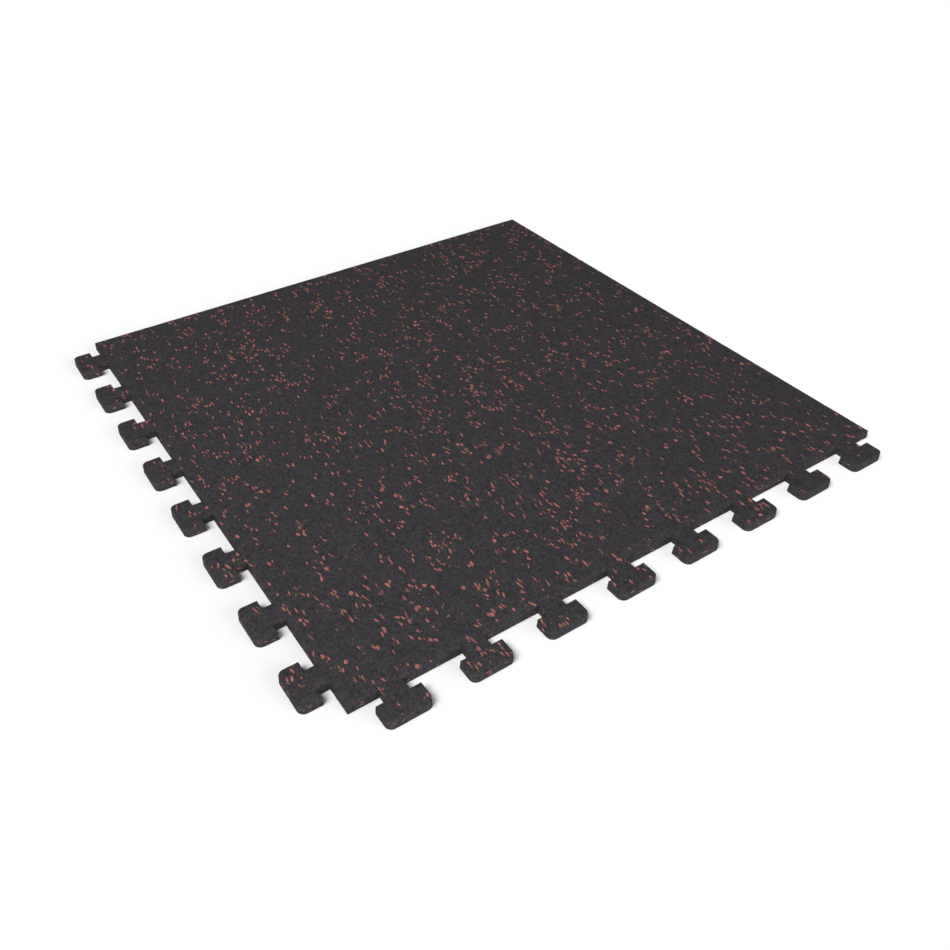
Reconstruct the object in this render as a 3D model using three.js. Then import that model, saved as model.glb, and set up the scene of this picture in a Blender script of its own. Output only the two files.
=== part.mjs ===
// Rubber gym floor tile, the corner piece of an interlocking floor.
// One flat slab of bonded rubber crumb, cut in one piece: the front and left sides carry a row of
// T-shaped tabs that lock into the next tiles, and the back and right sides are cut straight.
//
// Millimetres, +Z up. The origin is the middle of the tile's bounding box, on its underside.
// The back edge faces +Y, the right edge +X, and the tabs point to -Y and -X.

import * as THREE from 'three';

// Slab
const bodyWidth = 609.6;      // along X, tabs left out
const bodyLength = 609.6;     // along Y, tabs left out
const thickness = 9;

// Tab pattern, the same on both tabbed sides
const tabPitch = 76.2;        // from the middle of one tab to the next
const firstTab = 38.1;        // from the shared corner of the two tabbed sides to the first tab's middle

// One T-shaped tab: a neck on the slab's side, and a wider head across its end
const neckWidth = 21;
const neckLength = 10.7;
const headWidth = 41.1;
const headDepth = 19.7;
const outerCornerRadius = 6;  // the head's two corners that point away from the slab
const innerCornerRadius = 0.75; // the head's two corners beside the neck

// Straight chords that draw each round corner, an even number
const cornerChords = 6;

// Finish: charcoal crumb, matte
const crumbColour = 0x3e3a3b;
const crumbRoughness = 0.92;

// A corner of an outline: its place, and the radius that rounds it, 0 for a sharp one.
const corner = (x, y, radius = 0) => ({ x, y, radius });

// How many tabs fit on a side, with each head inside the side's length.
const tabCount = (side) => 1 + Math.floor((side - firstTab - headWidth / 2) / tabPitch);

// Middles of the tabs along a side, measured from the shared corner.
const tabMiddles = (side) => Array.from({ length: tabCount(side) }, (_, i) => firstTab + i * tabPitch);

// The corners of one tab. Along is measured along the side and out is measured away from the slab.
function tabCorners(middle) {
  const neck = neckWidth / 2;
  const head = headWidth / 2;
  const headRoot = neckLength;
  const headEnd = neckLength + headDepth;
  return [
    { along: middle - neck, out: 0, radius: 0 },
    { along: middle - neck, out: headRoot, radius: 0 },
    { along: middle - head, out: headRoot, radius: innerCornerRadius },
    { along: middle - head, out: headEnd, radius: outerCornerRadius },
    { along: middle + head, out: headEnd, radius: outerCornerRadius },
    { along: middle + head, out: headRoot, radius: innerCornerRadius },
    { along: middle + neck, out: headRoot, radius: 0 },
    { along: middle + neck, out: 0, radius: 0 },
  ];
}

// The tile's plan, counter-clockwise from the shared corner of the two tabbed sides.
function tileCorners() {
  const front = tabMiddles(bodyWidth)
    .flatMap(tabCorners)
    .map(({ along, out, radius }) => corner(along, -out, radius));
  const left = tabMiddles(bodyLength)
    .flatMap(tabCorners)
    .map(({ along, out, radius }) => corner(-out, along, radius))
    .reverse();
  return [
    corner(0, 0),
    ...front,
    corner(bodyWidth, 0),
    corner(bodyWidth, bodyLength),
    corner(0, bodyLength),
    ...left,
  ];
}

// Draws a closed outline whose corners are right angles, with an arc at each round one.
function roundedShape(corners) {
  const shape = new THREE.Shape();
  corners.forEach((here, i) => {
    if (here.radius === 0) {
      if (i === 0) shape.moveTo(here.x, here.y);
      else shape.lineTo(here.x, here.y);
      return;
    }
    const before = corners[(i + corners.length - 1) % corners.length];
    const after = corners[(i + 1) % corners.length];
    const arriving = new THREE.Vector2(here.x - before.x, here.y - before.y).normalize();
    const leaving = new THREE.Vector2(after.x - here.x, after.y - here.y).normalize();
    const centre = new THREE.Vector2(here.x, here.y)
      .addScaledVector(arriving, -here.radius)
      .addScaledVector(leaving, here.radius);
    const start = leaving.clone().negate().angle();
    const end = arriving.angle();
    shape.absarc(centre.x, centre.y, here.radius, start, end, arriving.cross(leaving) < 0);
  });
  return shape;
}

function tileGeometry() {
  return new THREE.ExtrudeGeometry(roundedShape(tileCorners()), {
    depth: thickness,
    bevelEnabled: false,
    curveSegments: cornerChords / 2,
  });
}

const crumbRubber = new THREE.MeshStandardMaterial({
  color: crumbColour,
  roughness: crumbRoughness,
  metalness: 0,
});

const tile = new THREE.Mesh(tileGeometry(), crumbRubber);
tile.name = 'rubber_tile';

// The tabs stand out past the slab on two sides, so the box's middle lies off the slab's own middle.
const tabReach = neckLength + headDepth;
tile.position.set((tabReach - bodyWidth) / 2, (tabReach - bodyLength) / 2, 0);

const part = new THREE.Group();
part.add(tile);

export default part;
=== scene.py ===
"""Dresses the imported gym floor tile: the crumb rubber slab, its red flecks and a plain white studio."""

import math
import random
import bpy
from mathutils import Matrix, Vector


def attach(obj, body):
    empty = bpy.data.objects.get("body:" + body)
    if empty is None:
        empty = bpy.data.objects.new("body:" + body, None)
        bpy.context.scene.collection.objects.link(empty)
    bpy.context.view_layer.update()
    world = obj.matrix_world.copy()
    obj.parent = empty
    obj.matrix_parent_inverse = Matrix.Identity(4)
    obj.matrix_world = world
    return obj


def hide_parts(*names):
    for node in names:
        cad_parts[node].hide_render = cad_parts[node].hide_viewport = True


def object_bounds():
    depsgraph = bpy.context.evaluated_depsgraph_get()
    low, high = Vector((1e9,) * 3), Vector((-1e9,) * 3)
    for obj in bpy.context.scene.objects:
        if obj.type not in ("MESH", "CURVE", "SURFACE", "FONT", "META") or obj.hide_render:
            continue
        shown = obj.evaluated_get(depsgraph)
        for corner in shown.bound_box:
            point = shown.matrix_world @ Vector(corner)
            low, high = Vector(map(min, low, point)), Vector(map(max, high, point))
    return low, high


bl_info = {
    "name": "Crumb rubber floor tile",
    "version": (1, 0, 0),
    "blender": (4, 5, 0),
    "location": "3D View > Sidebar > Floor Tile",
    "description": "Makes the slab, the flecks and the studio round the packed floor tile",
    "category": "Object",
}

import bpy
import numpy as np
from mathutils import Vector, noise
from mathutils.geometry import delaunay_2d_cdt

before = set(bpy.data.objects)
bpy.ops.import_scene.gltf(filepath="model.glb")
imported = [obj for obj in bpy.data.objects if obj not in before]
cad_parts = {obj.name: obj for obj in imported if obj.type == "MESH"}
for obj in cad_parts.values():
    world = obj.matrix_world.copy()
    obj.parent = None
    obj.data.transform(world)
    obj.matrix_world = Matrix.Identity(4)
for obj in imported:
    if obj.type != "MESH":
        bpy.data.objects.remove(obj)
cad_low, cad_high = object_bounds()

# Units: a millimetre in metres, and a square decimetre in square metres
MM = 0.001
DM2 = 0.01

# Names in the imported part
NODE = "rubber_tile"
BODY = "root"

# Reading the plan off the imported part
FACE_REACH = 0.5 * MM  # how near the top the corners of the walking face lie
PLACE_DIGITS = 6  # decimals of a metre that tell two corners apart
TOUCHING = 1e-7  # metres, under which a point lies on the outline
SAME_PLACE = 1e-9  # metres, under which the triangulation takes two points for one
INSIDE_ONLY = 1  # has the triangulation keep what the ring holds and nothing else

# Mesh of the slab
EDGE_BANDS = 3  # bands of the mesh on each rounded edge
RIM_SHARE = 3  # a grid step over this is how near its rim a point inside a face may lie
SMOOTH_ANGLE = math.radians(40)  # edges that turn more than this stay sharp

# Relief of the cut wall, in shares of the crumb relief
LUMP = 0.8  # single crumbs
RIPPLE = 0.6  # broader waves
RIPPLE_CRUMBS = 3  # crumbs to one broader wave
RELIEF_LEVEL = 0.4  # level of the relief that lies on the plain wall

# Outline of a fleck
TIP_SWAY = 0.15  # how far the pointed end lies off, as a share of the turn between two corners
CORNER_SWAY = 0.3  # the same for the other corners
REACH_RANGE = (0.6, 1.0)  # how far out they lie, as a share of the pointed end's reach
CHIP_DEPTH = (-0.13, 0.14)  # how far the edge between two corners bends, as a share of the width
CHIP_PLACE = (0.3, 0.7)  # where along that edge it bends

# How chance spreads the flecks: the two powers of a beta curve, and how far a crown stands
LENGTH_SPREAD = (1.6, 2.4)
WIDTH_SPREAD = (1.8, 2.2)
SHADE_SPREAD = (2.2, 1.6)
STAND_RANGE = (0.4, 1.0)

# Where flecks fall
CELL = 4 * MM  # width of the cells in which neighbours are looked up
LONG = 2  # flecks keep this many times the room along the rolling direction that they keep across it
ROOM = 0.3  # room that a fleck keeps clear, in shares of its middling size
TRIES = 12  # places tried for a fleck before it is left out
DRIFT = 1.5  # clusters reach this many times further along the rolling direction

# Chips of the flecks
RIM_STAND = 0.3  # height of the rim, as a share of the crown's
LEAST_AREA = 0.12 * MM ** 2
LEAST_LENGTH = 0.4 * MM

# Flecks in the cut wall, against those in a face
WALL_LENGTH = 0.75
WALL_WIDTH = 0.55
WALL_LEAN = 0.5
WALL_STAND = 2
WALL_EDGE = MM  # strip along each edge of the wall that they leave free, or half of it where they lean
WALL_END = 0.3 * MM  # length of each stretch of wall that a fleck leaves free at the least
EDGE_SEED = 2  # added to the seed, after the two faces have used the first two

# Crumb pattern: scales in waves to a crumb, reaches in crumbs, the rest in shares of a tone or a height
WARP_SCALE = 1.4
WARP_REACH = 1.3
FINE_SCALE = 1.9
BROAD_SCALE = 0.45
NOISE_MIDDLE = 0.5
CRUMB_DARKEST = 0.25
CRUMB_SPAN = 0.5
GRIT_TONE = 2.4
OPEN_ABOVE = 0.44  # broad noise above which seams stand open
SEAM_REACH = 0.7
LEAST_SEAM = 0.004
CRUMB_DOME = 1.6
GRIT_HEIGHT = 1.5
SEAM_DEPTH = 0.5

# Flecks under the surface, in shares of a cell
GRAIN_LEAST = 0.12
GRAIN_SPAN = 0.25
GRAIN_EDGE = 22.0  # how sharply a grain ends

# Charcoal crumb
VEIL = 0.9  # how much of a buried fleck shows through the lightest crumb
SEAM_SHOW = 0.6  # how much of the crumb's colour a seam hides
CRUMB_SHEEN = 0.1  # roughness between the darkest and the lightest crumb

# Red flecks
MOTTLE = 0.7  # shade between the darkest and the lightest spot of one fleck
BITE_GRIT = 1.5  # how strongly the grit moves the edge of a bite
BITE_START = 0.62  # the higher this is, the less of the rim is bitten away
BITE_EDGE = 12.0  # how sharply a bite ends
BITE_SHOW = 0.8  # how much of the red a bite hides
DUST_SHOW = 0.35  # how much of the red a seam hides
FLECK_SHEEN = 0.08  # roughness between the darkest and the lightest spot of one fleck
FLECK_SMOOTHER = 0.06  # how much smoother than the rubber's setting the darkest spot is

# Studio
GLOW_FALL = 8.0  # power by which the glow at floor level fades upwards
SUN_DISTANCE = 1.0  # metres, for where its object stands, as its light is the same everywhere
SENSOR_WIDTH = 36.0  # millimetres

# Sockets of a Mix node that mixes colours
MIX_SHARE, MIX_FIRST, MIX_SECOND, MIX_RESULT = 0, 6, 7, 2


# Settings that a user would change

class SlabSettings(bpy.types.PropertyGroup):
    wall_step: bpy.props.FloatProperty(
        name="Wall step", description="Longest stretch of cut wall between two columns of the mesh",
        default=1.6 * MM, unit="LENGTH")
    wall_rows: bpy.props.IntProperty(
        name="Wall rows", description="Bands of the mesh between the two rounded edges", default=6)
    cap_step: bpy.props.FloatProperty(
        name="Face step", description="Grid step of the walking face and the underside",
        default=9 * MM, unit="LENGTH")
    top_round: bpy.props.FloatProperty(
        name="Top edge radius", description="Radius of the worn edge round the walking face",
        default=0.4 * MM, unit="LENGTH")
    bottom_round: bpy.props.FloatProperty(
        name="Bottom edge radius", description="Radius of the edge round the underside",
        default=0.25 * MM, unit="LENGTH")
    taper: bpy.props.FloatProperty(
        name="Cut taper", description="How much further in the top of the cut wall lies than its foot",
        default=0.5 * MM, unit="LENGTH")
    crumb_relief: bpy.props.FloatProperty(
        name="Cut crumb relief", description="How far single crumbs stand out of the cut wall",
        default=0.12 * MM, unit="LENGTH")
    crumb_size: bpy.props.FloatProperty(
        name="Crumb size", description="Size of one rubber crumb", default=1.7 * MM, unit="LENGTH")
    fleck_stand: bpy.props.FloatProperty(
        name="Fleck stand", description="How far the flecks stand proud of the pressed faces",
        default=0.04 * MM, unit="LENGTH")


class FleckSettings(bpy.types.PropertyGroup):
    slivers: bpy.props.FloatProperty(
        name="Slivers", description="Long thin flecks on each square decimetre", default=11.5)
    shards: bpy.props.FloatProperty(
        name="Shards", description="Middling flecks on each square decimetre", default=40.0)
    chunks: bpy.props.FloatProperty(
        name="Chunks", description="Broad angular flecks on each square decimetre", default=6.0)
    specks: bpy.props.FloatProperty(
        name="Specks", description="Tiny flecks on each square decimetre", default=35.0)
    lean: bpy.props.FloatProperty(
        name="Lean", description="Usual angle between a fleck and the sheet's rolling direction",
        default=math.radians(10.5), subtype="ANGLE")
    cluster: bpy.props.FloatProperty(
        name="Cluster", description="Share of the flecks that lie close to the one before", default=0.64)
    cluster_reach: bpy.props.FloatProperty(
        name="Cluster reach", description="Usual distance to the fleck before, across the rolling direction",
        default=1.9 * MM, unit="LENGTH")
    wall_share: bpy.props.FloatProperty(
        name="Wall share", description="Flecks in the cut wall for each one in the same area of a face",
        default=1.4)
    root_depth: bpy.props.FloatProperty(
        name="Root depth", description="How deep a fleck sits in the slab", default=0.35 * MM, unit="LENGTH")
    edge_margin: bpy.props.FloatProperty(
        name="Edge margin", description="Where flecks on the pressed faces end, in from the cut edge",
        default=0.7 * MM, unit="LENGTH")
    seed: bpy.props.IntProperty(name="Seed", description="Changes where every fleck falls", default=57)


class FinishSettings(bpy.types.PropertyGroup):
    matrix_dark: bpy.props.FloatVectorProperty(
        name="Dark crumb", description="Colour of the darker crumbs", subtype="COLOR",
        default=(0.0205, 0.0191, 0.0206))
    matrix_light: bpy.props.FloatVectorProperty(
        name="Light crumb", description="Colour of the lighter crumbs", subtype="COLOR",
        default=(0.0572, 0.0536, 0.0573))
    seam: bpy.props.FloatVectorProperty(
        name="Seam", description="Colour of the seams and pores between crumbs", subtype="COLOR",
        default=(0.007, 0.0065, 0.007))
    fleck_deep: bpy.props.FloatVectorProperty(
        name="Deep red", description="Colour of the dullest flecks", subtype="COLOR",
        default=(0.19, 0.0715, 0.0645))
    fleck_bright: bpy.props.FloatVectorProperty(
        name="Bright red", description="Colour of the freshest flecks", subtype="COLOR",
        default=(0.412, 0.1335, 0.113))
    buried: bpy.props.FloatVectorProperty(
        name="Buried fleck", description="Colour of flecks that show through a film of black rubber",
        subtype="COLOR", default=(0.095, 0.054, 0.050))
    roughness: bpy.props.FloatProperty(
        name="Roughness", description="Roughness of the rubber", default=0.9, subtype="FACTOR")
    gloss: bpy.props.FloatProperty(
        name="Gloss", description="Specular level of the rubber", default=0.04, subtype="FACTOR")


class StudioSettings(bpy.types.PropertyGroup):
    floor_size: bpy.props.FloatProperty(
        name="Floor size", description="Side of the white floor", default=40.0, unit="LENGTH")
    floor_drop: bpy.props.FloatProperty(
        name="Floor drop", description="Gap under the tile that keeps the two faces apart",
        default=0.05 * MM, unit="LENGTH")
    floor_white: bpy.props.FloatProperty(
        name="Floor white", description="How much light the floor sends back", default=0.9, subtype="FACTOR")
    dome: bpy.props.FloatProperty(
        name="Dome", description="Brightness of the surroundings overhead", default=0.07)
    horizon: bpy.props.FloatProperty(
        name="Horizon", description="Extra brightness of the surroundings at floor level", default=2.35)
    key: bpy.props.FloatProperty(
        name="Key", description="How strongly the high soft light shines on the tile and on the floor",
        default=3.4)
    key_heading: bpy.props.FloatProperty(
        name="Key heading",
        description="Where the high light stands for the floor, turned from +X towards +Y",
        default=math.radians(190.7), subtype="ANGLE")
    key_height: bpy.props.FloatProperty(
        name="Key height", description="Angle of the high light above the floor",
        default=math.radians(54.7), subtype="ANGLE")
    key_spread: bpy.props.FloatProperty(
        name="Key spread", description="Angle that the high light fills",
        default=math.radians(37), subtype="ANGLE")
    key_distance: bpy.props.FloatProperty(
        name="Key distance",
        description="Distance of the high light from the tile, which sets how its light falls off",
        default=3.4, unit="LENGTH")
    key_turn: bpy.props.FloatProperty(
        name="Key turn",
        description="How much further round the high light stands for the tile than for the floor",
        default=math.radians(26), subtype="ANGLE")
    key_lower: bpy.props.FloatProperty(
        name="Key lower", description="How much lower the high light stands for the tile than for the floor",
        default=math.radians(5), subtype="ANGLE")
    fill: bpy.props.FloatProperty(name="Fill", description="Strength of the low soft light", default=1.86)
    fill_heading: bpy.props.FloatProperty(
        name="Fill heading", description="Where the low light stands, turned from +X towards +Y",
        default=math.radians(-61.9), subtype="ANGLE")
    fill_height: bpy.props.FloatProperty(
        name="Fill height", description="Angle of the low light above the floor",
        default=math.radians(12.8), subtype="ANGLE")
    fill_spread: bpy.props.FloatProperty(
        name="Fill spread", description="Angle that the low light fills",
        default=math.radians(46), subtype="ANGLE")


class CameraSettings(bpy.types.PropertyGroup):
    eye: bpy.props.FloatVectorProperty(
        name="Eye", description="Where the camera stands", subtype="TRANSLATION", unit="LENGTH",
        default=(-0.4508, -0.6662, 0.5737))
    heading: bpy.props.FloatProperty(
        name="Heading", description="Direction of the view, turned from +Y towards +X",
        default=math.radians(33.7), subtype="ANGLE")
    dip: bpy.props.FloatProperty(
        name="Dip", description="How far the view looks down", default=math.radians(40.17), subtype="ANGLE")
    lens: bpy.props.FloatProperty(
        name="Lens", description="Focal length on a 36 mm wide sensor", default=34.34)
    shift_x: bpy.props.FloatProperty(
        name="Shift across", description="Part of the picture's width by which the view is shifted",
        default=0.0287)
    shift_y: bpy.props.FloatProperty(
        name="Shift up", description="Part of the picture's width by which the view is raised",
        default=0.001)


# Plan of the tile

def plan_outline():
    """The tile's plan, read off its CAD node: a closed counter-clockwise list of corners."""
    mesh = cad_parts[NODE].data
    edges = set()
    for face in mesh.polygons:
        places = [mesh.vertices[i].co for i in face.vertices]
        if all(cad_high.z - p.z < FACE_REACH for p in places):
            keys = [(round(p.x, PLACE_DIGITS), round(p.y, PLACE_DIGITS)) for p in places]
            edges.update(zip(keys, keys[1:] + keys[:1]))
    following = {a: b for a, b in edges if (b, a) not in edges}
    outline = [min(following)]
    while following[outline[-1]] != outline[0]:
        outline.append(following[outline[-1]])
    return [Vector(p) for p in outline]


def turned_left(along):
    """The direction square to this one, on its left."""
    return Vector((-along.y, along.x)).normalized()


def rim_points(outline, step):
    """The outline with points added on its long stretches."""
    points = []
    for here, after in zip(outline, outline[1:] + outline[:1]):
        count = max(1, math.ceil((after - here).length / step))
        points += [here.lerp(after, i / count) for i in range(count)]
    return points


def inward_mitres(points):
    """For each point of a closed outline, the move that takes it in by one unit of width."""
    mitres = []
    for before, here, after in zip(points[-1:] + points[:-1], points, points[1:] + points[:1]):
        arriving, leaving = turned_left(here - before), turned_left(after - here)
        mitres.append((arriving + leaving) / (1 + arriving.dot(leaving)))
    return mitres


def nearest_on_outline(points, outline):
    """For each point: the nearest place on the outline, how far in it lies (negative outside)."""
    start = np.array([tuple(p) for p in outline])
    along = np.roll(start, -1, axis=0) - start
    place = np.empty_like(points)
    depth = np.empty(len(points))
    for i, p in enumerate(points):
        share = np.clip(((p - start) * along).sum(1) / (along ** 2).sum(1), 0, 1)
        feet = start + share[:, None] * along
        gap = ((p - feet) ** 2).sum(1)
        foot = gap.argmin()
        crosses = (start[:, 1] > p[1]) != (start[:, 1] + along[:, 1] > p[1])
        rise = np.where(crosses, along[:, 1], 1)
        left_of = p[0] < start[:, 0] + (p[1] - start[:, 1]) * along[:, 0] / rise
        inside = np.count_nonzero(crosses & left_of) % 2 == 1
        place[i] = feet[foot]
        depth[i] = math.sqrt(gap[foot]) * (1 if inside else -1)
    return place, depth


# Slab

def crumb_bulge(place, settings):
    """How far the cut wall stands out at this place, from crumbs that were cut or torn free."""
    lump = noise.noise(place / settings.crumb_size, noise_basis="VORONOI_F2F1")
    ripple = noise.noise(place / (RIPPLE_CRUMBS * settings.crumb_size))
    return settings.crumb_relief * (LUMP * lump + RIPPLE * ripple - RELIEF_LEVEL)


def wall_inset(height, settings):
    """How far in the cut wall lies at this height, from its taper and its two rounded edges."""
    thickness = cad_high.z - cad_low.z
    inset = settings.taper * (height / thickness - 0.5)
    for radius, gap in ((settings.top_round, thickness - height), (settings.bottom_round, height)):
        if gap < radius:
            inset += radius - math.sqrt(max(0.0, radius ** 2 - (radius - gap) ** 2))
    return inset


def wall_heights(settings):
    """Heights of the rows of the cut wall, from the underside up."""
    thickness = cad_high.z - cad_low.z
    turn = [i / EDGE_BANDS * math.pi / 2 for i in range(EDGE_BANDS + 1)]
    foot = [settings.bottom_round * (1 - math.cos(a)) for a in turn]
    head = [thickness - settings.top_round * (1 - math.sin(a)) for a in turn]
    span = head[0] - foot[-1]
    middle = [foot[-1] + span * i / settings.wall_rows for i in range(1, settings.wall_rows)]
    return foot + middle + head


def face_fill(ring, step):
    """Triangles that fill a closed ring of plan points, and the extra points inside that they use."""
    low = np.array([tuple(p) for p in ring]).min(0)
    high = np.array([tuple(p) for p in ring]).max(0)
    columns = np.arange(low[0] + step / 2, high[0], step)
    rows = np.arange(low[1] + step / 2, high[1], step)
    grid = np.array([(x, y) for y in rows for x in columns])
    depth = nearest_on_outline(grid, ring)[1]
    inner = [Vector(p) for p in grid[depth > step / RIM_SHARE]]
    places = list(ring) + inner
    border = list(range(len(ring)))
    _, _, faces, sources, _, _ = delaunay_2d_cdt(places, [], [border], INSIDE_ONLY, SAME_PLACE)
    index = [source[0] for source in sources]
    return inner, [[index[i] for i in face] for face in faces]


def slab_mesh(settings):
    """The slab: a cut wall with crumb relief between two pressed faces."""
    outline = plan_outline()
    rim = rim_points(outline, settings.wall_step)
    mitres = inward_mitres(rim)
    heights = wall_heights(settings)
    thickness = heights[-1]
    stand = settings.fleck_stand
    verts, faces = [], []
    for height in heights:
        z = cad_low.z + stand + height * (thickness - 2 * stand) / thickness
        pressed = height in (heights[0], heights[-1])
        for point, mitre in zip(rim, mitres):
            bulge = 0.0 if pressed else crumb_bulge(Vector((point.x, point.y, z)), settings)
            place = point + mitre * (wall_inset(height, settings) - bulge)
            verts.append((place.x, place.y, z))
    count = len(rim)
    for row in range(len(heights) - 1):
        low, high = row * count, (row + 1) * count
        faces += [(low + i, low + (i + 1) % count, high + (i + 1) % count, high + i) for i in range(count)]
    for row, flip in ((0, True), (len(heights) - 1, False)):
        start = row * count
        ring = [Vector(v[:2]) for v in verts[start:start + count]]
        inner, fill = face_fill(ring, settings.cap_step)
        extra = len(verts)
        z = verts[start][2]
        verts += [(p.x, p.y, z) for p in inner]
        for face in fill:
            corners = [start + i if i < count else extra + i - count for i in face]
            faces.append(corners[::-1] if flip else corners)
    mesh = bpy.data.meshes.new("crumb_slab")
    mesh.from_pydata(verts, [], faces)
    mesh.validate()
    return mesh


# Flecks

FLECK_KINDS = {
    # kind: shortest and longest length, narrowest and widest width in mm, fewest and most corners
    "slivers": (7.2, 14.5, 1.5, 2.6, 4, 6),
    "shards": (4.5, 9.2, 1.9, 3.3, 4, 6),
    "chunks": (5.2, 8.4, 3.6, 5.8, 4, 6),
    "specks": (1.6, 3.9, 1.1, 2.1, 3, 5),
}


def shard_outline(rng, length, width, corners):
    """Edge of one broken grain, counter-clockwise, drawn out to a point along the second axis."""
    tip = rng.choice((math.pi / 2, -math.pi / 2))
    sway = [TIP_SWAY] + [CORNER_SWAY] * (corners - 1)
    angles = [tip + (i + rng.uniform(-w, w)) * math.tau / corners for i, w in enumerate(sway)]
    reach = [1.0] + [rng.uniform(*REACH_RANGE) for _ in angles[1:]]
    main = [
        Vector((width / 2 * r * math.cos(a), length / 2 * r * math.sin(a)))
        for a, r in zip(angles, reach)]
    edge = []
    for here, after in zip(main, main[1:] + main[:1]):
        chip = turned_left(after - here) * rng.uniform(*CHIP_DEPTH) * width
        edge += [here, here.lerp(after, rng.uniform(*CHIP_PLACE)) + chip]
    return [tuple(p) for p in edge]


def fleck_draws(rng, area, settings):
    """Lengths, widths and corner counts of the flecks that fall on this area, in mixed order."""
    draws = []
    for kind, (short, long, narrow, wide, fewest, most) in FLECK_KINDS.items():
        count = round(getattr(settings, kind) * area / DM2)
        for _ in range(count):
            length = (short + (long - short) * rng.betavariate(*LENGTH_SPREAD)) * MM
            width = (narrow + (wide - narrow) * rng.betavariate(*WIDTH_SPREAD)) * MM
            draws.append((length, width, rng.randint(fewest, most)))
    rng.shuffle(draws)
    return draws


def scattered(rng, draws, settings):
    """A middle for each fleck, many in loose clusters, none on top of another."""
    taken = {}
    placed = []
    last = None
    for length, width, corners in draws:
        reach = ROOM * math.sqrt(length * width)
        for _ in range(TRIES):
            if last is not None and rng.random() < settings.cluster:
                x = rng.gauss(last[0], settings.cluster_reach)
                y = rng.gauss(last[1], DRIFT * settings.cluster_reach)
            else:
                x = rng.uniform(cad_low.x, cad_high.x)
                y = rng.uniform(cad_low.y, cad_high.y)
            key = (int(x // CELL), int(y // (LONG * CELL)))
            near = [other for i in (-1, 0, 1) for j in (-1, 0, 1)
                    for other in taken.get((key[0] + i, key[1] + j), ())]
            if all(math.hypot(x - u, (y - v) / LONG) > reach + w for u, v, w in near):
                taken.setdefault(key, []).append((x, y, reach))
                placed.append((x, y, length, width, corners))
                last = (x, y)
                break
    return placed


class ChipMesh:
    """Collects closed chips, each with a crown that runs down to its edge, and one shade of its own."""

    def __init__(self, name):
        self.name = name
        self.verts, self.faces = [], []
        self.values = {"shade": [], "crown": []}

    def add(self, crown, tops, feet, shade):
        start, count = len(self.verts), len(tops)
        self.verts += tops + feet + [crown]
        self.faces.append(list(range(start + 2 * count - 1, start + count - 1, -1)))
        for i in range(count):
            j = (i + 1) % count
            self.faces.append([start + i, start + count + i, start + count + j, start + j])
            self.faces.append([start + 2 * count, start + i, start + j])
        self.values["shade"] += [shade] * (2 * count + 1)
        self.values["crown"] += [0.0] * (2 * count) + [1.0]

    def build(self):
        mesh = bpy.data.meshes.new(self.name)
        mesh.from_pydata(self.verts, [], self.faces)
        for label, values in self.values.items():
            mesh.attributes.new(label, "FLOAT", "POINT").data.foreach_set("value", values)
        mesh.validate()
        return mesh


def shoelace(points):
    """Area inside a closed list of plan points."""
    return 0.5 * sum(a[0] * b[1] - b[0] * a[1] for a, b in zip(points, points[1:] + points[:1]))


def face_fleck_mesh(name, seed, up, settings, slab):
    """Flecks in one pressed face, their ends cut off where the face ends."""
    rng = random.Random(seed)
    outline = plan_outline()
    area = (cad_high.x - cad_low.x) * (cad_high.y - cad_low.y)
    chips = ChipMesh(name)
    placed = scattered(rng, fleck_draws(rng, area, settings), settings)
    depth = nearest_on_outline(np.array([p[:2] for p in placed]), outline)[1]
    margin = settings.edge_margin
    for (x, y, length, width, corners), inside in zip(placed, depth):
        shade = rng.betavariate(*SHADE_SPREAD)
        lean = rng.gauss(0, settings.lean)
        shape = shard_outline(rng, length, width, corners)
        stand = slab.fleck_stand * rng.uniform(*STAND_RANGE)
        if inside < margin:
            continue
        c, s = math.cos(lean), math.sin(lean)
        corners_at = [(x + c * u - s * v, y + s * u + c * v) for u, v in shape]
        if inside < length:
            corners_at = cut_to_face(corners_at, outline, margin)
        if abs(shoelace(corners_at)) < LEAST_AREA:
            continue
        if not up:
            corners_at.reverse()
        side, face = (1, cad_high.z) if up else (-1, cad_low.z)
        edge = face - side * (slab.fleck_stand - RIM_STAND * stand)
        foot = face - side * settings.root_depth
        middle = np.mean(corners_at, axis=0)
        chips.add(
            (*middle, face - side * (slab.fleck_stand - stand)),
            [(u, v, edge) for u, v in corners_at],
            [(u, v, foot) for u, v in corners_at],
            shade)
    return chips.build()


def cut_to_face(corners_at, outline, margin):
    """Moves the corners that lie too near the cut edge back to the margin."""
    places, depth = nearest_on_outline(np.array(corners_at), outline)
    moved = []
    for corner, place, inside in zip(corners_at, places, depth):
        if inside < margin:
            inward = (np.array(corner) - place) / inside if abs(inside) > TOUCHING else np.zeros(2)
            corner = tuple(place + inward * margin)
        moved.append(corner)
    return moved


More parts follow.
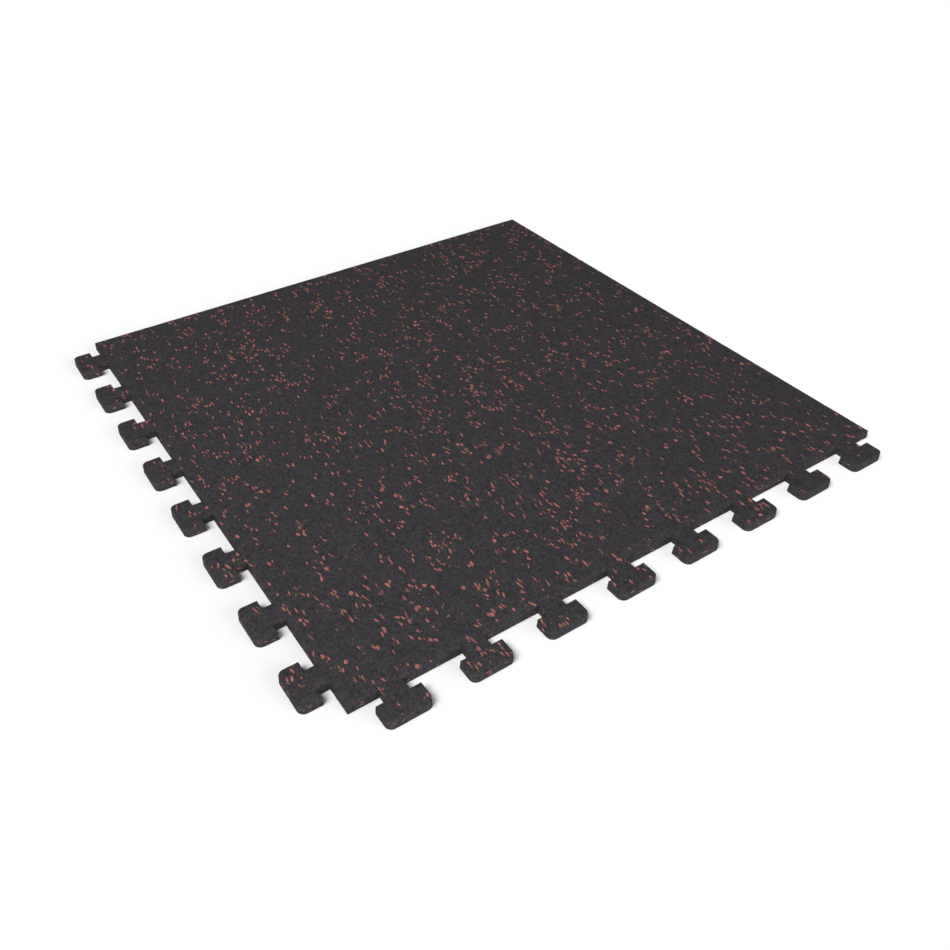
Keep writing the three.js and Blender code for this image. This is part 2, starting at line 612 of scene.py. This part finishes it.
def wall_fleck_mesh(name, seed, settings, slab):
    """Flecks in the cut wall, drawn out along it."""
    rng = random.Random(seed)
    outline = plan_outline()
    thickness = cad_high.z - cad_low.z
    chips = ChipMesh(name)
    runs = list(zip(outline, outline[1:] + outline[:1]))
    lengths = [(b - a).length for a, b in runs]
    draws = fleck_draws(rng, settings.wall_share * sum(lengths) * thickness, settings)
    taken = {run: [] for run in range(len(runs))}
    for length, width, corners in draws:
        run = rng.choices(range(len(runs)), lengths)[0]
        a, b = runs[run]
        along = (b - a).normalized()
        outward = -turned_left(along)
        length = min(WALL_LENGTH * length, lengths[run] - WALL_END)
        width = min(WALL_WIDTH * width, length)
        middle = rng.uniform(length / 2, lengths[run] - length / 2)
        height = rng.uniform(WALL_EDGE + width / 2, thickness - WALL_EDGE - width / 2)
        if any(abs(middle - m) < (length + n) / 2 and abs(height - h) < width for m, h, n in taken[run]):
            continue
        taken[run].append((middle, height, length))
        lean = rng.gauss(0, settings.lean * WALL_LEAN)
        shade = rng.betavariate(*SHADE_SPREAD)
        shape = shard_outline(rng, length, width, corners)
        if length < LEAST_LENGTH:
            continue
        tops, feet = [], []
        for u, v in shape + [(0, 0)]:
            s = middle + math.sin(lean) * u + math.cos(lean) * v
            h = height - math.cos(lean) * u + math.sin(lean) * v
            h = min(max(h, WALL_EDGE / 2), thickness - WALL_EDGE / 2)
            flat = a + along * s
            z = cad_low.z + h
            bulge = crumb_bulge(Vector((flat.x, flat.y, z)), slab) - wall_inset(h, slab)
            for ring, rise in ((tops, WALL_STAND * slab.fleck_stand), (feet, -settings.root_depth)):
                place = flat + outward * (bulge + rise)
                ring.append((place.x, place.y, z))
        chips.add(tops.pop(), tops, feet[:-1], shade)
    return chips.build()


# Shader node helpers

def add_node(tree, kind, **values):
    """A new node, with its properties, and its inputs where a name is a socket's."""
    node = tree.nodes.new(kind)
    for name, value in values.items():
        if hasattr(node, name):
            setattr(node, name, value)
        else:
            node.inputs[name.replace("_", " ")].default_value = value
    return node


def effect_group(name, inputs, outputs):
    """A shader node group with named value inputs and outputs, and its two end nodes."""
    group = bpy.data.node_groups.new(name, "ShaderNodeTree")
    for label, default in inputs.items():
        socket = group.interface.new_socket(label, in_out="INPUT", socket_type="NodeSocketFloat")
        socket.default_value = default
    for label in outputs:
        group.interface.new_socket(label, in_out="OUTPUT", socket_type="NodeSocketFloat")
    return group, group.nodes.new("NodeGroupInput"), group.nodes.new("NodeGroupOutput")


def calc(tree, operation, a, b=0.0, c=0.0, clamp=False):
    """A maths node on sockets or plain numbers, and its result."""
    node = tree.nodes.new("ShaderNodeMath")
    node.operation = operation
    node.use_clamp = clamp
    for socket, value in zip(node.inputs, (a, b, c)):
        if isinstance(value, bpy.types.NodeSocket):
            tree.links.new(value, socket)
        else:
            socket.default_value = value
    return node.outputs[0]


def mixed(tree, share, a, b):
    """One colour mixed into another by share."""
    node = tree.nodes.new("ShaderNodeMix")
    node.data_type = "RGBA"
    for number, value in ((MIX_SHARE, share), (MIX_FIRST, a), (MIX_SECOND, b)):
        if isinstance(value, bpy.types.NodeSocket):
            tree.links.new(value, node.inputs[number])
        else:
            node.inputs[number].default_value = value
    return node.outputs[MIX_RESULT]


def opaque(colour):
    """A colour setting with its alpha."""
    return (*colour, 1.0)


def tile_place(tree, stretch):
    """The place on the tile in metres, squeezed along the rolling direction by stretch."""
    place = tree.nodes.new("ShaderNodeTexCoord").outputs["Object"]
    squeeze = tree.nodes.new("ShaderNodeVectorMath")
    squeeze.operation = "DIVIDE"
    factors = tree.nodes.new("ShaderNodeCombineXYZ")
    factors.inputs["X"].default_value = 1.0
    factors.inputs["Z"].default_value = 1.0
    tree.links.new(stretch, factors.inputs["Y"])
    tree.links.new(place, squeeze.inputs[0])
    tree.links.new(factors.outputs[0], squeeze.inputs[1])
    return squeeze.outputs[0]


def warped(tree, place, scale, reach):
    """The place moved about by noise of this scale, by up to half of reach."""
    drift = add_node(tree, "ShaderNodeTexNoise", Detail=2.0, Roughness=0.6)
    centred = add_node(tree, "ShaderNodeVectorMath", operation="SUBTRACT")
    centred.inputs[1].default_value = [NOISE_MIDDLE] * 3
    sized = add_node(tree, "ShaderNodeVectorMath", operation="SCALE")
    moved = add_node(tree, "ShaderNodeVectorMath", operation="ADD")
    tree.links.new(place, drift.inputs["Vector"])
    tree.links.new(scale, drift.inputs["Scale"])
    tree.links.new(drift.outputs["Color"], centred.inputs[0])
    tree.links.new(centred.outputs[0], sized.inputs[0])
    tree.links.new(reach, sized.inputs["Scale"])
    tree.links.new(place, moved.inputs[0])
    tree.links.new(sized.outputs[0], moved.inputs[1])
    return moved.outputs[0]


def crumb_grain_group():
    """Crumbs of rubber pressed together: a tone for each, the open seams, the fine grit and the height."""
    inputs = {"Crumb Size": 1.7 * MM, "Stretch": 1.0, "Grit": 0.5, "Pores": 0.5}
    group, start, end = effect_group("Crumb grain", inputs, ("Tone", "Seam", "Grit", "Height"))
    still = tile_place(group, start.outputs["Stretch"])
    size = start.outputs["Crumb Size"]
    per_metre = calc(group, "DIVIDE", 1.0, size)
    warp_scale = calc(group, "MULTIPLY", per_metre, WARP_SCALE)
    warp_reach = calc(group, "MULTIPLY", size, WARP_REACH)
    place = warped(group, still, warp_scale, warp_reach)
    cells = add_node(group, "ShaderNodeTexVoronoi", feature="F1", Randomness=1.0)
    edges = add_node(group, "ShaderNodeTexVoronoi", feature="DISTANCE_TO_EDGE", Randomness=1.0)
    fine = add_node(group, "ShaderNodeTexNoise", Detail=4.0, Roughness=0.72)
    broad = add_node(group, "ShaderNodeTexNoise", Detail=2.0, Roughness=0.5)
    for texture, where, scale in (
            (cells, place, 1.0), (edges, place, 1.0), (fine, still, FINE_SCALE), (broad, still, BROAD_SCALE)):
        group.links.new(where, texture.inputs["Vector"])
        group.links.new(calc(group, "MULTIPLY", per_metre, scale), texture.inputs["Scale"])
    split = group.nodes.new("ShaderNodeSeparateColor")
    group.links.new(cells.outputs["Color"], split.inputs[0])
    crumb = calc(group, "MULTIPLY_ADD", split.outputs["Red"], CRUMB_SPAN, CRUMB_DARKEST)
    grit = calc(group, "SUBTRACT", fine.outputs[0], NOISE_MIDDLE)
    grit = calc(group, "MULTIPLY", grit, start.outputs["Grit"])
    tone = calc(group, "MULTIPLY_ADD", grit, GRIT_TONE, crumb, clamp=True)
    open_here = calc(group, "SUBTRACT", broad.outputs[0], OPEN_ABOVE)
    open_here = calc(group, "MULTIPLY", open_here, start.outputs["Pores"])
    reach = calc(group, "MULTIPLY_ADD", open_here, SEAM_REACH, LEAST_SEAM)
    reach = calc(group, "MAXIMUM", reach, LEAST_SEAM)
    rise = calc(group, "DIVIDE", edges.outputs["Distance"], reach, clamp=True)
    seam = calc(group, "SUBTRACT", 1.0, rise)
    dome = calc(group, "MULTIPLY", edges.outputs["Distance"], CRUMB_DOME, clamp=True)
    height = calc(group, "MULTIPLY_ADD", grit, GRIT_HEIGHT, dome)
    height = calc(group, "MULTIPLY_ADD", seam, -SEAM_DEPTH, height)
    for label, socket in (("Tone", tone), ("Seam", seam), ("Grit", fine.outputs[0]), ("Height", height)):
        group.links.new(socket, end.inputs[label])
    return group


def buried_fleck_group():
    """Small grains under a film of binder: 1 in a few scattered cells, 0 elsewhere."""
    inputs = {"Grain Size": 2.4 * MM, "Stretch": 1.8, "Share": 0.16}
    group, start, end = effect_group("Buried flecks", inputs, ("Mask",))
    place = tile_place(group, start.outputs["Stretch"])
    per_metre = calc(group, "DIVIDE", 1.0, start.outputs["Grain Size"])
    cells = add_node(group, "ShaderNodeTexVoronoi", feature="F1", Randomness=1.0)
    group.links.new(place, cells.inputs["Vector"])
    group.links.new(per_metre, cells.inputs["Scale"])
    split = group.nodes.new("ShaderNodeSeparateColor")
    group.links.new(cells.outputs["Color"], split.inputs[0])
    chosen = calc(group, "LESS_THAN", split.outputs["Green"], start.outputs["Share"])
    reach = calc(group, "MULTIPLY_ADD", split.outputs["Blue"], GRAIN_SPAN, GRAIN_LEAST)
    within = calc(group, "SUBTRACT", reach, cells.outputs["Distance"])
    within = calc(group, "MULTIPLY", within, GRAIN_EDGE, clamp=True)
    group.links.new(calc(group, "MULTIPLY", chosen, within), end.inputs["Mask"])
    return group


def placed_group(tree, group, **values):
    """A group placed in a material with its own values."""
    node = tree.nodes.new("ShaderNodeGroup")
    node.node_tree = group
    for name, value in values.items():
        node.inputs[name.replace("_", " ")].default_value = value
    return node


def rubber_shader(material, settings):
    """The material's tree and its Principled shader, with the rubber's gloss set."""
    material.use_nodes = True
    tree = material.node_tree
    shader = tree.nodes["Principled BSDF"]
    shader.inputs["Specular IOR Level"].default_value = settings.gloss
    return tree, shader


def roughened(tree, shader, tone, low, span):
    """Roughness that rises from low by span as the tone goes from dark to light."""
    tree.links.new(calc(tree, "MULTIPLY_ADD", tone, span, low), shader.inputs["Roughness"])


def bumped(tree, shader, height, distance, strength):
    """Relief from a height whose unit is this distance."""
    bump = add_node(tree, "ShaderNodeBump", Strength=strength, Distance=distance)
    tree.links.new(height, bump.inputs["Height"])
    tree.links.new(bump.outputs[0], shader.inputs["Normal"])


def charcoal_crumb(settings, groups):
    """Black rubber crumb: two close greys, dark seams, and flecks that lie just under the surface."""
    material = bpy.data.materials.new("charcoal_crumb")
    tree, shader = rubber_shader(material, settings)
    crumb = placed_group(tree, groups["grain"], Crumb_Size=1.6 * MM, Stretch=1.25, Grit=0.75, Pores=1.0)
    buried = placed_group(tree, groups["buried"], Grain_Size=2.6 * MM, Stretch=1.7, Share=0.15)
    tone = crumb.outputs["Tone"]
    rubber = mixed(tree, tone, opaque(settings.matrix_dark), opaque(settings.matrix_light))
    veiled = calc(tree, "MULTIPLY", buried.outputs["Mask"], calc(tree, "MULTIPLY", tone, VEIL))
    rubber = mixed(tree, veiled, rubber, opaque(settings.buried))
    shaded = calc(tree, "MULTIPLY", crumb.outputs["Seam"], SEAM_SHOW)
    tree.links.new(mixed(tree, shaded, rubber, opaque(settings.seam)), shader.inputs["Base Color"])
    roughened(tree, shader, tone, settings.roughness - CRUMB_SHEEN / 2, CRUMB_SHEEN)
    bumped(tree, shader, crumb.outputs["Height"], distance=0.16 * MM, strength=0.85)
    return material


def red_fleck(settings, groups):
    """Red rubber granules: each with a shade of its own, its edge bitten into by black crumb."""
    material = bpy.data.materials.new("red_fleck")
    tree, shader = rubber_shader(material, settings)
    crumb = placed_group(tree, groups["grain"], Crumb_Size=0.9 * MM, Stretch=1.2, Grit=1.0, Pores=0.7)
    shade = add_node(tree, "ShaderNodeAttribute", attribute_name="shade")
    crown = add_node(tree, "ShaderNodeAttribute", attribute_name="crown")
    tone = crumb.outputs["Tone"]
    share = calc(tree, "MULTIPLY_ADD", tone, MOTTLE, -MOTTLE / 2)
    share = calc(tree, "ADD", shade.outputs["Fac"], share, clamp=True)
    colour = mixed(tree, share, opaque(settings.fleck_deep), opaque(settings.fleck_bright))
    bite = calc(tree, "MULTIPLY_ADD", crumb.outputs["Grit"], BITE_GRIT, -BITE_START)
    bite = calc(tree, "SUBTRACT", bite, crown.outputs["Fac"])
    bite = calc(tree, "MULTIPLY", bite, BITE_EDGE, clamp=True)
    dust = calc(tree, "MULTIPLY", crumb.outputs["Seam"], DUST_SHOW)
    cover = calc(tree, "MAXIMUM", calc(tree, "MULTIPLY", bite, BITE_SHOW), dust)
    tree.links.new(mixed(tree, cover, colour, opaque(settings.matrix_light)), shader.inputs["Base Color"])
    roughened(tree, shader, tone, settings.roughness - FLECK_SMOOTHER, FLECK_SHEEN)
    bumped(tree, shader, crumb.outputs["Height"], distance=0.1 * MM, strength=0.7)
    return material


def finish_named(name, scene):
    """The material of this name, made with its effects the first time that it is asked for."""
    made = bpy.data.materials.get(name)
    if made:
        return made
    groups = {
        "grain": bpy.data.node_groups.get("Crumb grain") or crumb_grain_group(),
        "buried": bpy.data.node_groups.get("Buried flecks") or buried_fleck_group(),
    }
    makers = {"charcoal_crumb": charcoal_crumb, "red_fleck": red_fleck}
    return makers[name](scene.tile_finish, groups)


def new_piece(mesh, material, smooth_angle=None):
    """An object of the tile in this material, riding on the tile's body."""
    piece = bpy.data.objects.new(mesh.name, mesh)
    bpy.context.scene.collection.objects.link(piece)
    mesh.materials.append(material)
    if smooth_angle is not None:
        mesh.shade_smooth()
        mesh.set_sharp_from_angle(angle=smooth_angle)
    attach(piece, BODY)
    return piece


# Operators

class TILE_OT_slab(bpy.types.Operator):
    """Make the crumb rubber slab in place of its plain solid"""
    bl_idname = "tile.slab"
    bl_label = "Crumb slab"

    def execute(self, context):
        mesh = slab_mesh(context.scene.tile_slab)
        if not mesh.polygons:
            raise RuntimeError("the slab has no faces")
        slab = new_piece(mesh, finish_named("charcoal_crumb", context.scene), SMOOTH_ANGLE)
        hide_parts(NODE)
        return {"FINISHED"}


class TILE_OT_face_flecks(bpy.types.Operator):
    """Make the red flecks in the walking face and in the underside"""
    bl_idname = "tile.face_flecks"
    bl_label = "Face flecks"

    def execute(self, context):
        scene = context.scene
        for step, (name, up) in enumerate((("top_flecks", True), ("underside_flecks", False))):
            seed = scene.tile_flecks.seed + step
            mesh = face_fleck_mesh(name, seed, up, scene.tile_flecks, scene.tile_slab)
            new_piece(mesh, finish_named("red_fleck", scene))
        return {"FINISHED"}


class TILE_OT_edge_flecks(bpy.types.Operator):
    """Make the red flecks in the cut wall"""
    bl_idname = "tile.edge_flecks"
    bl_label = "Edge flecks"

    def execute(self, context):
        scene = context.scene
        seed = scene.tile_flecks.seed + EDGE_SEED
        mesh = wall_fleck_mesh("edge_flecks", seed, scene.tile_flecks, scene.tile_slab)
        new_piece(mesh, finish_named("red_fleck", scene))
        return {"FINISHED"}


class TILE_OT_studio(bpy.types.Operator):
    """Make the white floor, the soft light and the camera"""
    bl_idname = "tile.studio"
    bl_label = "Studio"

    def execute(self, context):
        scene = context.scene
        light_studio(scene)
        place_camera(scene)
        return {"FINISHED"}


def light_studio(scene):
    """A white floor, a dome that is brightest at floor level, and two broad soft lights."""
    settings = scene.tile_studio
    scene.view_settings.view_transform = "Standard"
    half = settings.floor_size / 2
    z = cad_low.z - settings.floor_drop
    corners = [(-half, -half, z), (half, -half, z), (half, half, z), (-half, half, z)]
    mesh = bpy.data.meshes.new("studio_floor")
    mesh.from_pydata(corners, [], [range(len(corners))])
    floor = bpy.data.objects.new("studio_floor", mesh)
    scene.collection.objects.link(floor)
    white = bpy.data.materials.new("studio_white")
    white.use_nodes = True
    shader = white.node_tree.nodes["Principled BSDF"]
    shader.inputs["Base Color"].default_value = opaque([settings.floor_white] * 3)
    shader.inputs["Roughness"].default_value = 1.0
    shader.inputs["Specular IOR Level"].default_value = 0.0
    mesh.materials.append(white)
    scene.world = studio_dome(settings)
    far_key = far_light(
        "key_on_floor", settings.key, settings.key_spread, settings.key_heading, settings.key_height)
    near_key = near_light("key_on_tile", settings)
    far_light("fill", settings.fill, settings.fill_spread, settings.fill_heading, settings.fill_height)
    shine_on(far_key, floor, "INCLUDE")
    shine_on(near_key, floor, "EXCLUDE")


def studio_dome(settings):
    """White surroundings whose light gathers at floor level, and which the camera sees as plain white."""
    world = bpy.data.worlds.new("studio_dome")
    world.use_nodes = True
    tree = world.node_tree
    split = tree.nodes.new("ShaderNodeSeparateXYZ")
    tree.links.new(tree.nodes.new("ShaderNodeTexCoord").outputs["Generated"], split.inputs[0])
    low = calc(tree, "SUBTRACT", 1.0, split.outputs["Z"], clamp=True)
    glow = calc(tree, "POWER", low, GLOW_FALL)
    strength = calc(tree, "MULTIPLY_ADD", glow, settings.horizon, settings.dome)
    seen = tree.nodes.new("ShaderNodeLightPath").outputs["Is Camera Ray"]
    tree.links.new(calc(tree, "MAXIMUM", strength, seen), tree.nodes["Background"].inputs["Strength"])
    tree.nodes["Background"].inputs["Color"].default_value = (1, 1, 1, 1)
    return world


def placed_light(lamp, heading, height, distance):
    """An object for this lamp, which shines at the tile from this heading and height."""
    light = bpy.data.objects.new(lamp.name, lamp)
    flat = math.cos(height)
    towards = Vector((flat * math.cos(heading), flat * math.sin(heading), math.sin(height)))
    light.location = towards * distance
    light.rotation_euler = towards.to_track_quat("Z", "Y").to_euler()
    bpy.context.scene.collection.objects.link(light)
    return light


def far_light(name, strength, spread, heading, height):
    """A soft light that is the same everywhere."""
    lamp = bpy.data.lights.new(name, "SUN")
    lamp.energy = strength
    lamp.angle = spread
    return placed_light(lamp, heading, height, SUN_DISTANCE)


def near_light(name, settings):
    """The high light as a round panel near the tile, so that the tile's far corner gets less of it."""
    lamp = bpy.data.lights.new(name, "AREA")
    lamp.shape = "DISK"
    lamp.size = 2 * settings.key_distance * math.tan(settings.key_spread / 2)
    panel = math.pi * (lamp.size / 2) ** 2
    height = settings.key_height - settings.key_lower
    # Lower down it shines more strongly, so that the flat face stays as bright
    level = settings.key * math.sin(settings.key_height) / math.sin(height)
    lamp.energy = level / math.sin(settings.key_spread / 2) ** 2 * panel
    return placed_light(lamp, settings.key_heading + settings.key_turn, height, settings.key_distance)


def shine_on(light, thing, state):
    """Has a light shine on this thing alone, or on everything but this thing."""
    group = bpy.data.collections.new(light.name)
    group.objects.link(thing)
    group.collection_objects[0].light_linking.link_state = state
    light.light_linking.receiver_collection = group


def place_camera(scene):
    """The camera that sees the tile as the picture does."""
    settings = scene.tile_camera
    data = bpy.data.cameras.new("camera")
    data.sensor_fit = "HORIZONTAL"
    data.sensor_width = SENSOR_WIDTH
    data.lens = settings.lens
    data.shift_x = settings.shift_x
    data.shift_y = settings.shift_y
    camera = bpy.data.objects.new("camera", data)
    camera.location = settings.eye
    camera.rotation_euler = (math.pi / 2 - settings.dip, 0.0, -settings.heading)
    scene.collection.objects.link(camera)
    scene.camera = camera


class TILE_PT_tile(bpy.types.Panel):
    """Buttons that make the tile, and its settings"""
    bl_idname = "TILE_PT_tile"
    bl_label = "Floor Tile"
    bl_space_type = "VIEW_3D"
    bl_region_type = "UI"
    bl_category = "Floor Tile"

    def draw(self, context):
        for operator in MAKERS:
            self.layout.operator(operator.bl_idname)
        for name, group in SETTINGS.items():
            box = self.layout.box()
            box.label(text=group.__name__)
            for setting in group.__annotations__:
                box.prop(getattr(context.scene, name), setting)


SETTINGS = {
    "tile_slab": SlabSettings,
    "tile_flecks": FleckSettings,
    "tile_finish": FinishSettings,
    "tile_studio": StudioSettings,
    "tile_camera": CameraSettings,
}
MAKERS = (TILE_OT_slab, TILE_OT_face_flecks, TILE_OT_edge_flecks, TILE_OT_studio)


def register():
    for group in SETTINGS.values():
        bpy.utils.register_class(group)
    for name, group in SETTINGS.items():
        setattr(bpy.types.Scene, name, bpy.props.PointerProperty(type=group))
    for cls in (*MAKERS, TILE_PT_tile):
        bpy.utils.register_class(cls)


def unregister():
    for cls in (TILE_PT_tile, *reversed(MAKERS)):
        bpy.utils.unregister_class(cls)
    for name in SETTINGS:
        delattr(bpy.types.Scene, name)
    for group in SETTINGS.values():
        bpy.utils.unregister_class(group)


def main():
    register()
    bpy.ops.tile.slab()
    bpy.ops.tile.face_flecks()
    bpy.ops.tile.edge_flecks()
    bpy.ops.tile.studio()
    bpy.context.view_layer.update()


if __name__ == "__main__":
    main()
